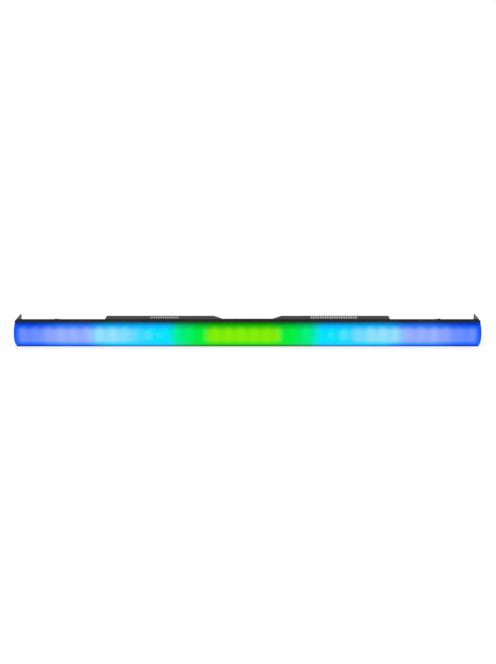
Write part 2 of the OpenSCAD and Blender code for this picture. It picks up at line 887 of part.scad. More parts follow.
module board_standoffs() {
    color([0.80, 0.68, 0.36]) translate([0, web_back_y, 0])
        for (span = [power_board_x, control_board_x])
            each_standoff(span) {
                facing_back() {
                    cylinder(h = standoff_h, r = 2.9, $fn = 6);
                    translate([0, 0, 0.1 - web_t]) cylinder(h = web_t, r = m3[0]);
                    translate([0, 0, standoff_h - 0.1]) cylinder(h = board_t + 1.4, r = m3[0]);
                    translate([0, 0, standoff_h + board_t]) cylinder(h = 2.2, r = 2.9, $fn = 6);
                }
            }
}

// ---------- menu panel ----------

module menu_board() {
    color([0.10, 0.30, 0.34]) difference() {
        box([menu_board_x[0], menu_board_y, menu_board_z[0]],
            [menu_board_x[1], menu_board_y + board_t, menu_board_z[1]]);
        each_menu_spacer() translate([0, menu_board_y - 1, 0])
            facing_back() cylinder(h = board_t + 2, r = 1.4);
    }
}

module each_menu_spacer() {
    for (x = menu_board_x, z = menu_board_z)
        translate([x == menu_board_x[0] ? x + 4 : x - 4, 0, z == menu_board_z[0] ? z + 4 : z - 4])
            children();
}

module menu_spacers() {
    gap = belly_y - sheet_t - menu_board_y - board_t;
    color([0.92, 0.92, 0.90]) each_menu_spacer()
        translate([0, menu_board_y + board_t, 0]) facing_back() {
            cylinder(h = gap, r = 2.6);
            translate([0, 0, -board_t - 1]) cylinder(h = board_t + 1.1, r = 1.2);
        }
}

module menu_display() {
    face = menu_board_y + board_t + 7.6;
    digit_pitch = 12.4;
    bar_long = 4.2;
    bar_wide = 1.1;
    bar_deep = 0.5;
    color([0.10, 0.10, 0.11]) difference() {
        box([display_x - display_size.x / 2, menu_board_y + board_t, mid_z - display_size.y / 2],
            [display_x + display_size.x / 2, face, mid_z + display_size.y / 2]);
        // Grooves of the seven segments of each digit
        for (i = [-1.5 : 1.5])
            translate([display_x + i * digit_pitch, face - bar_deep, mid_z]) {
                for (level = [-1, 0, 1])
                    translate([-bar_long / 2, 0, level * (bar_long + 1.5) - bar_wide / 2])
                        cube([bar_long, 1, bar_wide]);
                for (edge = [-1, 1], level = [-1, 1])
                    translate([edge * (bar_long + 1.5) / 2 - bar_wide / 2, 0,
                        (level * (bar_long + 1.5) - bar_long) / 2])
                        cube([bar_wide, 1, bar_long]);
            }
    }
}

module menu_window() {
    half = [display_size.x / 2 + 0.8, display_size.y / 2 + 0.8];
    color([0.20, 0.05, 0.06]) {
        box([display_x - half[0], belly_y - sheet_t, mid_z - half[1]],
            [display_x + half[0], belly_y + 0.2, mid_z + half[1]]);
    }
}

module menu_switches() {
    color([0.08, 0.08, 0.09])
        for (x = button_x)
            translate([x, menu_board_y + board_t, mid_z]) {
                translate([-3, 0, -3]) cube([6, 3.5, 6]);
                facing_back() cylinder(h = 4.3, r = 1.7);
            }
}

module menu_button(x) {
    // Stands 1.8 proud of the cover, with a collar behind it
    back = menu_board_y + board_t + 4.3 + button_travel + 0.3;
    color([0.78, 0.79, 0.80]) translate([x, back, mid_z]) facing_back() {
        cylinder(h = 1, r = button_r + 1.2);
        cylinder(h = belly_y + 1.4 - back, r = button_r);
        translate([0, 0, belly_y + 1.4 - back]) cylinder(h = 0.5, r1 = button_r, r2 = button_r - 0.5);
    }
}

// ---------- fuse and earth ----------

module fuse_holder() {
    inside = 26;
    flange_r = fuse_body_r + 1.6;
    color([0.09, 0.09, 0.10]) translate([fuse_x, belly_y, fuse_z]) facing_back() {
        difference() {
            union() {
                translate([0, 0, -inside]) cylinder(h = inside + 0.1, r = fuse_body_r);
                cylinder(h = 1, r = flange_r);
            }
            translate([0, 0, 2 - inside]) cylinder(h = inside + 2, r = 4.5);
        }
        // Nut behind the cover
        translate([0, 0, -sheet_t - 3]) difference() {
            cylinder(h = 2.9, r = 9, $fn = 6);
            translate([0, 0, -1]) cylinder(h = 5, r = fuse_body_r - 0.1);
        }
    }
}

module fuse_cap() {
    color([0.10, 0.10, 0.11]) translate([fuse_x, belly_y, fuse_z]) facing_back() difference() {
        union() {
            translate([0, 0, 1.2]) cylinder(h = 2.8, r = 6.2);
            translate([0, 0, -6]) cylinder(h = 7.3, r = 4.3);
        }
        translate([-5, -0.6, 3]) cube([10, 1.2, 2]);
        for (i = [0 : 11])
            rotate([0, 0, i * 30]) translate([6.5, 0, 1]) cylinder(h = 4, r = 0.7, $fn = 16);
    }
}

module fuse_link() {
    color([0.80, 0.82, 0.80]) translate([fuse_x, belly_y - 23, fuse_z]) facing_back()
        cylinder(h = 16, r = 2.6);
}

module earth_stud() {
    color([0.78, 0.70, 0.38]) translate([earth_place[0], web_back_y, earth_place[1]])
        facing_back() {
        cylinder(h = 11, r = 2);
        cylinder(h = 0.9, r = 4.6);
        translate([0, 0, 1]) cylinder(h = 3.2, r = 4, $fn = 6);
        translate([0, 0, 5]) cylinder(h = 3.2, r = 4, $fn = 6);
    }
}

// ---------- cables held inside ----------

module mains_cable() {
    start_x = panel_x - sheet_t - 24;
    color([0.05, 0.05, 0.06]) cable([
        [-start_x, cable_end_y, mains_end_z], [-mains_bends[1], cable_end_y, mains_end_z],
        [-mains_bends[0], duct_y, mains_z],
        [mains_bends[0], duct_y, mains_z],
        [mains_bends[1], cable_end_y, mains_end_z], [start_x, cable_end_y, mains_end_z]
    ], mains_r);
}

module data_cable() {
    start_x = panel_x - sheet_t - 17;
    color([0.20, 0.20, 0.22]) cable([
        [-start_x, cable_end_y, data_end_z], [-data_bends[1], cable_end_y, data_end_z],
        [-data_bends[0], duct_y, data_z],
        [data_bends[0], duct_y, data_z],
        [data_bends[1], cable_end_y, data_end_z], [start_x, cable_end_y, data_end_z]
    ], data_r);
}

// ---------- brackets ----------

module pivot_ear() {
    ear_r = 10;
    color([0.14, 0.14, 0.15]) difference() {
        union() {
            box([ear_x - 18, web_back_y, pivot_z - 26], [ear_x + ear_t, web_back_y + 3, pivot_z + 10]);
            box([ear_x, web_back_y, pivot_z - ear_r], [ear_x + ear_t, pivot_y, pivot_z + ear_r]);
            translate([ear_x, pivot_y, pivot_z]) facing_right() cylinder(h = ear_t, r = ear_r);
        }
        translate([ear_x - 1, pivot_y, pivot_z]) facing_right()
            cylinder(h = ear_t + 2, r = stud_r + 0.1);
    }
}

module pivot_ears() {
    difference() {
        for (side = [-1, 1])
            on_side(side) pivot_ear();
        translate([0, web_back_y + 4, 0]) each_ear_screw()
            facing_back() screw_hole([m4[0] + 0.2, 0, 0], 5);
    }
}

module ear_screws() {
    color([0.68, 0.69, 0.71]) translate([0, web_back_y + 3, 0]) each_ear_screw()
        facing_back() screw(m4, 3 + web_t - 0.2);
}

module bracket(side) {
    arm_r = strap_w / 2;
    bend_r = 4;
    color([0.13, 0.13, 0.14]) on_side(side) difference() {
        union() {
            // Upright arm with a round end at the pivot
            translate([strap_x, pivot_y, pivot_z]) facing_right() cylinder(h = strap_t, r = arm_r);
            box([strap_x, pivot_y - arm_r, foot_z + bend_r], [strap_x + strap_t, pivot_y + arm_r, pivot_z]);
            // Rounded bend
            intersection() {
                translate([strap_x + bend_r, pivot_y + arm_r, foot_z + bend_r]) facing_front()
                    difference() {
                        cylinder(h = strap_w, r = bend_r);
                        translate([0, 0, -1]) cylinder(h = strap_w + 2, r = bend_r - strap_t);
                    }
                box([strap_x, pivot_y - arm_r, foot_z],
                    [strap_x + bend_r, pivot_y + arm_r, foot_z + bend_r]);
            }
            // Foot with round corners at its outer end
            box([strap_x + bend_r, pivot_y - arm_r, foot_z],
                [strap_end_x - 5, pivot_y + arm_r, foot_z + strap_t]);
            box([strap_end_x - 6, pivot_y - arm_r + 5, foot_z],
                [strap_end_x, pivot_y + arm_r - 5, foot_z + strap_t]);
            for (y = [-1, 1])
                translate([strap_end_x - 5, pivot_y + y * (arm_r - 5), foot_z])
                    cylinder(h = strap_t, r = 5);
        }
        translate([strap_x - 1, pivot_y, pivot_z]) facing_right()
            cylinder(h = strap_t + 2, r = stud_r + 0.3);
        translate([hole_x, pivot_y, foot_z - 1]) cylinder(h = strap_t + 2, r = hole_r);
    }
}

module foot_pad(side) {
    half_w = strap_w / 2 - 3;
    color([0.05, 0.05, 0.05]) on_side(side) difference() {
        box([strap_x + 8, pivot_y - half_w, foot_z - pad_t],
            [strap_end_x - 4, pivot_y + half_w, foot_z]);
        translate([hole_x, pivot_y, foot_z - pad_t - 1]) cylinder(h = pad_t + 2, r = pad_hole_r);
    }
}

module knob(side) {
    lobes = 6;
    scoop_r = 4.2;
    neck_r = 7;
    rim_x = knob_face_x - knob_rim_t;
    chamfer = 0.8;
    color([0.06, 0.06, 0.07]) on_side(side) translate([0, pivot_y, pivot_z]) {
        difference() {
            union() {
                translate([hub_x, 0, 0]) facing_right() cylinder(h = knob_neck_x - hub_x, r = neck_r);
                translate([knob_neck_x - 0.1, 0, 0]) facing_right()
                    cylinder(h = rim_x - knob_neck_x + 0.1, r1 = knob_back_r, r2 = knob_r - chamfer);
                translate([rim_x - 0.1, 0, 0]) facing_right()
                    cylinder(h = knob_rim_t - chamfer + 0.1, r = knob_r);
                translate([knob_face_x - chamfer - 0.05, 0, 0]) facing_right()
                    cylinder(h = chamfer + 0.05, r1 = knob_r, r2 = knob_r - chamfer);
            }
            // Scoops between the lobes
            for (i = [0 : lobes - 1])
                rotate([(i + 0.5) * 360 / lobes, 0, 0])
                    translate([knob_neck_x - 1, 0, knob_r + 2.2]) facing_right()
                        cylinder(h = knob_face_x - knob_neck_x + 2, r = scoop_r, $fn = 32);
            translate([knob_face_x - 1.2, 0, 0]) facing_right() cylinder(h = 2, r = neck_r - 1);
        }
        // Threaded stud through the strap into the ear
        translate([ear_x - 2, 0, 0]) facing_right() cylinder(h = hub_x - ear_x + 2.1, r = stud_r);
    }
}

front_profile();
diffuser();
led_board(1);  // led_board_1
led_board(2);  // led_board_2
led_board(3);  // led_board_3
led_board(4);  // led_board_4
led_packages();
board_screws();
board_links();
end_plate(-1);  // end_plate_left
end_plate(1);  // end_plate_right
end_screws();
chassis(-1);  // chassis_left
chassis(1);  // chassis_right
wireway_cover();
rear_cover(-1);  // rear_cover_left
rear_cover(1);  // rear_cover_right
chassis_screws();
cover_screws();
clamp_plate();
clamp_screws();
clamp_spacers();
safety_eye();
power_inlet();
power_outlet();
dmx_input();
dmx_output();
dmx_latch();
socket_screws();
power_board();
power_windings();
power_capacitors();
power_heat_sink();
control_board();
control_chips();
terminal_blocks();
menu_board();
menu_display();
menu_window();
menu_switches();
menu_spacers();
menu_button(button_x[0]);  // button_menu
menu_button(button_x[1]);  // button_down
menu_button(button_x[2]);  // button_up
menu_button(button_x[3]);  // button_enter
board_standoffs();
fuse_holder();
fuse_cap();
fuse_link();
earth_stud();
mains_cable();
data_cable();
pivot_ears();
ear_screws();
bracket(-1);  // bracket_left
bracket(1);  // bracket_right
foot_pad(-1);  // foot_pad_left
foot_pad(1);  // foot_pad_right
knob(-1);  // knob_left
knob(1);  // knob_right
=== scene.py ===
"""Visual model of a one metre LED pixel batten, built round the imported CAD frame."""

import math

import bmesh
import bpy
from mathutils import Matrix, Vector


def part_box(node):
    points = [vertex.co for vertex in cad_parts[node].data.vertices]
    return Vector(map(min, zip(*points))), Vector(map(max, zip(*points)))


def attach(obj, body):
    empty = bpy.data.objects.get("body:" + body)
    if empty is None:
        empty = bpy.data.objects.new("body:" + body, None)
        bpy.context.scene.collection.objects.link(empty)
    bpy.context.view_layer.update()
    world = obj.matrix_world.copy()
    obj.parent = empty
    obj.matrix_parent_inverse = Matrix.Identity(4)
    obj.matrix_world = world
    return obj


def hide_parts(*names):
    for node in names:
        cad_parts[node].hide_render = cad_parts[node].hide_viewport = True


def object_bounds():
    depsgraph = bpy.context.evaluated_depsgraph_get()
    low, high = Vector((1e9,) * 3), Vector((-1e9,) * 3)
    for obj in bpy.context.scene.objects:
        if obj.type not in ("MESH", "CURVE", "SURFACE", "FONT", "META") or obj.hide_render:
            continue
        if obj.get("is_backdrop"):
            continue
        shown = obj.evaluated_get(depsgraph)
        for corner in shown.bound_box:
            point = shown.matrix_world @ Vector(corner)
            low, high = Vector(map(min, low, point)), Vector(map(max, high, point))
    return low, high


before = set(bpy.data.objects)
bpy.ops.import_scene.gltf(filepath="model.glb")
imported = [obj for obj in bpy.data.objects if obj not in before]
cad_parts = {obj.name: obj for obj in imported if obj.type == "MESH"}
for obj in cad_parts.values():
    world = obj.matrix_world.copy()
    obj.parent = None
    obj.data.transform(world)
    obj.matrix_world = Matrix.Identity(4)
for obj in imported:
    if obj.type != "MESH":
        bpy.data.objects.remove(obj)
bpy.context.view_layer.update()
MM = 0.001


# ---------- places read from the frame ----------

BAR_LOW, BAR_HIGH = (Vector(corner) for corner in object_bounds())
LENS_LOW, LENS_HIGH = (Vector(corner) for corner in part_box("diffuser"))
MID_Z = (BAR_LOW.z + BAR_HIGH.z) / 2
HALF_LENS = (LENS_HIGH.x - LENS_LOW.x) / 2


# ---------- camera, light and floor ----------

CAMERA_DISTANCE = 2.133
CAMERA_ELEVATION = math.radians(16.2)
CAMERA_LENS = 53.19
AIM = Vector((0.0, 0.0, 0.029))
ROOM_LIGHT = 0.42
FLOOR_GLOW = 0.77


def make_camera():
    data = bpy.data.cameras.new("camera")
    data.lens = CAMERA_LENS
    data.sensor_width = 36.0
    data.shift_x = 0.0006
    data.shift_y = -0.0010
    data.clip_end = 50.0
    camera = bpy.data.objects.new("camera", data)
    bpy.context.collection.objects.link(camera)
    back = Vector((0.0, -math.cos(CAMERA_ELEVATION), math.sin(CAMERA_ELEVATION)))
    camera.location = AIM + back * CAMERA_DISTANCE
    camera.rotation_euler = (-back).to_track_quat("-Z", "Y").to_euler()
    bpy.context.scene.camera = camera


def sun_light(name, direction, softness, power):
    data = bpy.data.lights.new(name, "SUN")
    data.angle = math.radians(softness)
    data.energy = power
    light = bpy.data.objects.new(name, data)
    bpy.context.collection.objects.link(light)
    light.location = -Vector(direction)
    light.rotation_euler = Vector(direction).to_track_quat("-Z", "Y").to_euler()


def make_lights():
    """A white backdrop for the camera, a dimmer even room for the object, and two soft suns."""
    scene = bpy.context.scene
    scene.view_settings.view_transform = "Standard"
    world = bpy.data.worlds.new("studio")
    world.use_nodes = True
    nodes, links = world.node_tree.nodes, world.node_tree.links
    room = nodes["Background"]
    room.inputs["Color"].default_value = (1.0, 1.0, 1.0, 1.0)
    room.inputs["Strength"].default_value = ROOM_LIGHT
    backdrop = nodes.new("ShaderNodeBackground")
    backdrop.inputs["Color"].default_value = (1.0, 1.0, 1.0, 1.0)
    backdrop.inputs["Strength"].default_value = 1.02
    seen = nodes.new("ShaderNodeLightPath")
    either = nodes.new("ShaderNodeMixShader")
    links.new(seen.outputs["Is Camera Ray"], either.inputs[0])
    links.new(room.outputs[0], either.inputs[1])
    links.new(backdrop.outputs[0], either.inputs[2])
    links.new(either.outputs[0], nodes["World Output"].inputs["Surface"])
    scene.world = world
    sun_light("key", (0.45, 0.75, -1.0), 50, 1.35)
    sun_light("fill", (-0.6, 0.55, -0.9), 70, 0.75)


def make_floor():
    """Pale paper that glows a little, so that the bar throws only a faint shade on it."""
    mesh = bpy.data.meshes.new("floor")
    half = 12.0
    drop = -0.0004
    corners = [(-half, -half, drop), (half, -half, drop), (half, half, drop), (-half, half, drop)]
    mesh.from_pydata(corners, [], [(0, 1, 2, 3)])
    floor = bpy.data.objects.new("floor", mesh)
    bpy.context.collection.objects.link(floor)
    graph = Graph("floor_paper")
    cloud = graph.noise(3.0, 2.0)
    graph.colour(graph.blend(cloud, (0.275, 0.275, 0.275), (0.285, 0.285, 0.285)))
    graph.value("Emission Color", (1.0, 1.0, 1.0, 1.0))
    graph.value("Emission Strength", FLOOR_GLOW)
    graph.value("Roughness", 0.9)
    graph.value("Specular IOR Level", 0.0)
    mesh.materials.append(graph.material)
    floor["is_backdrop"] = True
    return floor


# ---------- material building ----------


class Graph:
    """A Principled material with a few short ways to add procedural detail."""

    def __init__(self, name):
        self.material = bpy.data.materials.new(name)
        self.material.use_nodes = True
        self.nodes = self.material.node_tree.nodes
        self.links = self.material.node_tree.links
        self.shader = self.nodes["Principled BSDF"]
        self.place = self.nodes.new("ShaderNodeTexCoord").outputs["Object"]
        self.last_bump = None

    def value(self, socket, number):
        self.shader.inputs[socket].default_value = number

    def join(self, source, node, socket):
        if hasattr(source, "links"):
            self.links.new(source, node.inputs[socket])
        else:
            node.inputs[socket].default_value = source

    def scaled(self, scale):
        node = self.nodes.new("ShaderNodeMapping")
        self.links.new(self.place, node.inputs["Vector"])
        node.inputs["Scale"].default_value = scale
        return node.outputs["Vector"]

    def noise(self, scale, detail, stretch=(1, 1, 1)):
        node = self.nodes.new("ShaderNodeTexNoise")
        self.links.new(self.scaled(stretch), node.inputs["Vector"])
        node.inputs["Scale"].default_value = scale
        node.inputs["Detail"].default_value = detail
        node.inputs["Roughness"].default_value = 0.55
        return node.outputs["Fac"]

    def cells(self, scale):
        node = self.nodes.new("ShaderNodeTexVoronoi")
        self.links.new(self.place, node.inputs["Vector"])
        node.inputs["Scale"].default_value = scale
        return node.outputs["Distance"]

    def math(self, kind, a, b=0.0, c=0.0):
        node = self.nodes.new("ShaderNodeMath")
        node.operation = kind
        for index, source in enumerate((a, b, c)):
            self.join(source, node, index)
        return node.outputs[0]

    def sum(self, first, share, second, second_share):
        """Two sources added, each by its own share."""
        part = self.math("MULTIPLY", first, share)
        return self.math("ADD", part, self.math("MULTIPLY", second, second_share))

    def axis(self, name):
        node = self.nodes.new("ShaderNodeSeparateXYZ")
        self.links.new(self.place, node.inputs[0])
        return node.outputs[name]

    def ranged(self, source, low, high, to_low=0.0, to_high=1.0, smooth=False):
        node = self.nodes.new("ShaderNodeMapRange")
        node.interpolation_type = "SMOOTHSTEP" if smooth else "LINEAR"
        self.join(source, node, "Value")
        node.inputs["From Min"].default_value = low
        node.inputs["From Max"].default_value = high
        node.inputs["To Min"].default_value = to_low
        node.inputs["To Max"].default_value = to_high
        return node.outputs["Result"]

    def blend(self, factor, first, second, kind="MIX"):
        node = self.nodes.new("ShaderNodeMix")
        node.data_type = "RGBA"
        node.blend_type = kind
        colours = [s for s in node.inputs if s.type == "RGBA"]
        self.join(factor, node, 0)
        for socket, source in zip(colours, (first, second)):
            if hasattr(source, "links"):
                self.links.new(source, socket)
            else:
                socket.default_value = (*source, 1.0)
        return next(s for s in node.outputs if s.type == "RGBA")

    def ramp(self, source, stops):
        node = self.nodes.new("ShaderNodeValToRGB")
        node.color_ramp.interpolation = "LINEAR"
        self.links.new(source, node.inputs["Fac"])
        elements = node.color_ramp.elements
        while len(elements) < len(stops):
            elements.new(0.5)
        for element, (where, colour) in zip(elements, stops):
            element.position = where
            element.color = (*colour, 1.0)
        return node.outputs["Color"]

    def grey(self, source):
        node = self.nodes.new("ShaderNodeCombineColor")
        for channel in node.inputs:
            self.links.new(source, channel)
        return node.outputs[0]

    def colour(self, source):
        self.links.new(source, self.shader.inputs["Base Color"])

    def drive(self, socket, source):
        self.links.new(source, self.shader.inputs[socket])

    def bump(self, height, strength, distance):
        node = self.nodes.new("ShaderNodeBump")
        node.inputs["Strength"].default_value = strength
        node.inputs["Distance"].default_value = distance
        self.links.new(height, node.inputs["Height"])
        if self.last_bump is not None:
            self.links.new(self.last_bump, node.inputs["Normal"])
        self.last_bump = node.outputs["Normal"]
        self.links.new(self.last_bump, self.shader.inputs["Normal"])


def scuffed(graph, base, scuff, amount):
    """Base colour with soft blotches and short hairline scuffs that follow the bar."""
    cloud = graph.ranged(graph.noise(21.0, 3.0), 0.35, 0.7, smooth=True)
    tone = graph.blend(cloud, base, tuple(c * 1.35 + 0.002 for c in base))
    streak = graph.noise(840.0, 2.0, (0.06, 1.0, 1.0))
    patch = graph.noise(30.0, 2.0)
    hair = graph.math("MULTIPLY", graph.ranged(streak, 0.66, 0.72), graph.ranged(patch, 0.52, 0.66))
    return graph.blend(graph.math("MULTIPLY", hair, amount), tone, scuff)


SCUFF_GREY = (0.16, 0.16, 0.165)


def powder_coat(name, base, roughness, specular, grain=2200.0):
    graph = Graph(name)
    graph.colour(scuffed(graph, base, SCUFF_GREY, 0.5))
    finish_powder(graph, roughness, specular, grain)
    return graph.material


def finish_powder(graph, roughness, specular, grain=2200.0):
    """Roughness and orange peel of a powder coat."""
    speckle = graph.noise(grain, 3.0)
    worn = graph.noise(24.0, 3.0)
    mottled = graph.sum(speckle, 0.16, worn, 0.12)
    graph.drive("Roughness", graph.math("ADD", mottled, roughness - 0.14))
    graph.value("Specular IOR Level", specular)
    graph.bump(graph.cells(grain * 0.5), 0.28, 0.00022)
    graph.bump(speckle, 0.22, 0.00012)


def extruded_graph(name, base, roughness, specular):
    """Black coat over an extrusion: faint draw lines along X under the coat's fine grain."""
    graph = Graph(name)
    graph.colour(scuffed(graph, base, (0.14, 0.14, 0.145), 0.35))
    lines = graph.noise(1400.0, 2.0, (0.004, 1.0, 1.0))
    grain = graph.noise(2600.0, 2.0)
    mottled = graph.sum(lines, 0.12, grain, 0.12)
    graph.drive("Roughness", graph.math("ADD", mottled, roughness - 0.12))
    graph.value("Specular IOR Level", specular)
    graph.bump(lines, 0.12, 0.00015)
    graph.bump(grain, 0.16, 0.0001)
    return graph


def plated(name, base, roughness):
    """Zinc or nickel plate with a brushed grain and dull patches."""
    graph = Graph(name)
    patch = graph.noise(160.0, 4.0)
    grain = graph.noise(2400.0, 3.0, (1.0, 0.15, 1.0))
    dull = tuple(c * 0.62 for c in base)
    graph.colour(graph.blend(graph.ranged(patch, 0.35, 0.75, smooth=True), base, dull))
    graph.value("Metallic", 1.0)
    graph.drive("Roughness", graph.math("ADD", graph.math("MULTIPLY", grain, 0.2), roughness - 0.1))
    graph.bump(grain, 0.12, 0.00008)
    return graph.material


def moulded(name, base, roughness, grain=1800.0, strength=0.22):
    """Moulded plastic with spark eroded texture and a little handling shine."""
    graph = Graph(name)
    cloud = graph.ranged(graph.noise(90.0, 3.0), 0.3, 0.75, smooth=True)
    graph.colour(graph.blend(cloud, base, tuple(c * 0.78 for c in base)))
    pebble = graph.noise(grain, 3.0)
    shine = graph.noise(70.0, 2.0)
    mottled = graph.sum(pebble, 0.14, shine, 0.14)
    graph.drive("Roughness", graph.math("ADD", mottled, roughness - 0.14))
    graph.bump(pebble, strength, 0.00012)
    return graph.material


def circuit_board(name, mask, copper):
    """Solder mask over copper tracks that run along the board, with dull pads."""
    graph = Graph(name)
    tracks = graph.ranged(graph.noise(210.0, 1.0, (0.16, 1.0, 1.0)), 0.50, 0.53)
    vias = graph.ranged(graph.cells(150.0), 0.10, 0.06)
    tone = graph.blend(tracks, mask, tuple(min(1.0, c * 1.3 + 0.01) for c in mask))
    graph.colour(graph.blend(vias, tone, copper))
    graph.drive("Roughness", graph.ranged(tracks, 0.0, 1.0, 0.42, 0.30))
    graph.bump(tracks, 0.3, 0.00004)
    return graph.material


def ribbed_rubber(name):
    graph = Graph(name)
    dust = graph.ranged(graph.noise(130.0, 4.0), 0.45, 0.75, smooth=True)
    graph.colour(graph.blend(dust, (0.018, 0.018, 0.018), (0.05, 0.049, 0.047)))
    graph.drive("Roughness", graph.math("ADD", graph.math("MULTIPLY", dust, 0.1), 0.78))
    graph.value("Specular IOR Level", 0.25)
    graph.bump(graph.noise(1500.0, 3.0), 0.4, 0.0002)
    return graph.material


# ---------- the lit lens, and the profile beside it ----------

def shown(red, green, blue):
    """Display value of a colour, 0 to 255, as linear light."""
    parts = (red / 255, green / 255, blue / 255)
    return tuple(c / 12.92 if c <= 0.04045 else ((c + 0.055) / 1.055) ** 2.4 for c in parts)


# Colours of the running show: a paler row over the pixels and a deeper one towards the lips.
# Places are X in millimetres.
ROYAL = shown(8, 90, 246)
PERIWINKLE = shown(106, 142, 252)
LAVENDER = shown(152, 174, 254)
ICE = shown(146, 222, 254)
CYAN = shown(62, 214, 254)
TURQUOISE = shown(2, 226, 252)
SEA_GREEN = shown(0, 239, 140)
GREEN = shown(0, 239, 62)
LIME = shown(131, 236, 2)
CORE_SHOW = [
    (-500, ROYAL), (-484, PERIWINKLE), (-455, PERIWINKLE), (-405, LAVENDER), (-345, LAVENDER),
    (-322, ICE), (-280, ICE), (-238, CYAN), (-200, TURQUOISE), (-172, TURQUOISE),
    (-150, SEA_GREEN), (-108, GREEN), (-96, GREEN), (-81, LIME), (60, LIME),
    (77, GREEN), (98, GREEN), (134, SEA_GREEN), (160, TURQUOISE), (192, TURQUOISE),
    (226, CYAN), (268, ICE), (316, ICE), (341, LAVENDER), (405, LAVENDER),
    (452, PERIWINKLE), (484, PERIWINKLE), (500, ROYAL),
]
DEEP_ROYAL = shown(3, 84, 243)
DEEP_BLUE = shown(40, 118, 252)
DEEP_CYAN = shown(6, 176, 250)
DEEP_SEA_GREEN = shown(2, 189, 120)
DEEP_GREEN = shown(2, 187, 44)
DEEP_LIME = shown(30, 186, 6)
RIM_SHOW = [
    (-500, DEEP_ROYAL), (-455, DEEP_ROYAL), (-395, DEEP_BLUE), (-345, DEEP_BLUE),
    (-300, DEEP_CYAN), (-176, DEEP_CYAN), (-150, DEEP_SEA_GREEN), (-112, DEEP_GREEN),
    (-96, DEEP_GREEN), (-78, DEEP_LIME), (58, DEEP_LIME), (78, DEEP_GREEN), (98, DEEP_GREEN),
    (136, DEEP_SEA_GREEN), (164, DEEP_CYAN), (296, DEEP_CYAN), (341, DEEP_BLUE),
    (395, DEEP_BLUE), (455, DEEP_ROYAL), (500, DEEP_ROYAL),
]
# Round pale spots over the last pixels of each pale run: X, radius, strength
PALE_SPOTS = [
    (-249, 16, 0.32), (-214, 11, 0.22), (-191, 6.5, 0.10),
    (234, 16, 0.32), (204, 11, 0.22), (178, 6.5, 0.10),
]
LENS_R = 26.5 * MM
LENS_WALL = 2.0 * MM
SHOW_MIDDLE = -9 * MM
PIXEL_COUNT = 36
BOARD_GAP = 4 * MM
PIXEL_PITCH = (BAR_HIGH.x - BAR_LOW.x - 2 * BOARD_GAP) / PIXEL_COUNT


def show_ramp(graph, along, show):
    """Colour ramp over the length of the lens."""
    whole = 2 * HALF_LENS / MM
    stops = [(min(max(x / whole + 0.5, 0.0), 1.0), colour) for x, colour in show]
    return graph.ramp(graph.ranged(along, -HALF_LENS, HALF_LENS), stops)


def bowed_sections(graph, height):
    """X, shifted so that the middle sections reach less far near the lips."""
    bow = graph.math("MULTIPLY", graph.math("POWER", graph.math("ABSOLUTE", height), 3.0), 520.0)
    from_middle = graph.math("SUBTRACT", graph.axis("X"), SHOW_MIDDLE)
    outward = graph.math("MULTIPLY", graph.math("SIGN", from_middle), bow)
    inner = graph.ranged(graph.math("ABSOLUTE", from_middle), 120 * MM, 150 * MM, 1.0, 0.0)
    return graph.math("ADD", graph.axis("X"), graph.math("MULTIPLY", outward, inner))


def pale_spot(graph, height, x, radius, strength):
    """A soft round patch, a little above the middle of the lens."""
    aside = graph.math("SUBTRACT", graph.axis("X"), x * MM)
    above = graph.math("SUBTRACT", height, 1.5 * MM)
    squares = (graph.math("POWER", offset, 2.0) for offset in (aside, above))
    far = graph.math("SQRT", graph.math("ADD", *squares))
    return graph.ranged(far, radius * 1.3 * MM, radius * 0.5 * MM, 0.0, strength, True)


def pixel_mix(graph, height):
    """1 over the middle of the lens and 0 at its lips and ends, paler over each pixel."""
    wave = graph.math("COSINE", graph.math("MULTIPLY", graph.axis("X"), 2 * math.pi / PIXEL_PITCH))
    spot = graph.math("MULTIPLY_ADD", wave, -0.08, 0.92)
    arched = graph.math("MULTIPLY_ADD", wave, 0.7 * MM, height)
    upper = graph.ranged(arched, 21.2 * MM, 9.4 * MM, smooth=True)
    lower = graph.ranged(height, -22.0 * MM, -8.5 * MM, smooth=True)
    band = graph.math("MULTIPLY", upper, lower)
    from_centre = graph.math("ABSOLUTE", graph.axis("X"))
    near_end = graph.ranged(from_centre, HALF_LENS - 14 * MM, HALF_LENS, 1.0, 0.0, True)
    return graph.math("MULTIPLY", graph.math("MULTIPLY", band, spot), near_end)


def lens_material():
    """Milky plastic, lit from within: the deep colours brighten downwards and dim at both lips."""
    graph = Graph("lens_milky")
    height = graph.math("SUBTRACT", graph.axis("Z"), MID_Z)
    along = bowed_sections(graph, height)
    core = show_ramp(graph, along, CORE_SHOW)
    for x, radius, strength in PALE_SPOTS:
        core = graph.blend(pale_spot(graph, height, x, radius, strength), core, ICE)
    rim = show_ramp(graph, along, RIM_SHOW)
    rim_lift = graph.ranged(height, 14.0 * MM, -12.0 * MM, 1.0, 1.45)
    lifted = graph.blend(1.0, rim, graph.grey(rim_lift), "MULTIPLY")
    glow = graph.blend(pixel_mix(graph, height), lifted, core)
    top_dim = graph.ranged(height, 24.5 * MM, 19.5 * MM, 0.40, 1.0, smooth=True)
    foot_dim = graph.ranged(height, -26.0 * MM, -20.5 * MM, 0.42, 1.0, smooth=True)
    dim = graph.math("MULTIPLY", top_dim, foot_dim)
    lit = graph.blend(1.0, glow, graph.grey(dim), "MULTIPLY")
    graph.colour(graph.blend(0.05, (0.0, 0.0, 0.0), lit))
    graph.drive("Emission Color", lit)
    graph.value("Emission Strength", 0.97)
    graph.value("Specular IOR Level", 0.02)
    graph.drive("Roughness", graph.ranged(graph.noise(260.0, 3.0), 0.3, 0.7, 0.42, 0.52))
    graph.bump(graph.noise(900.0, 2.0, (0.01, 1.0, 1.0)), 0.05, 0.0001)
    return graph.material


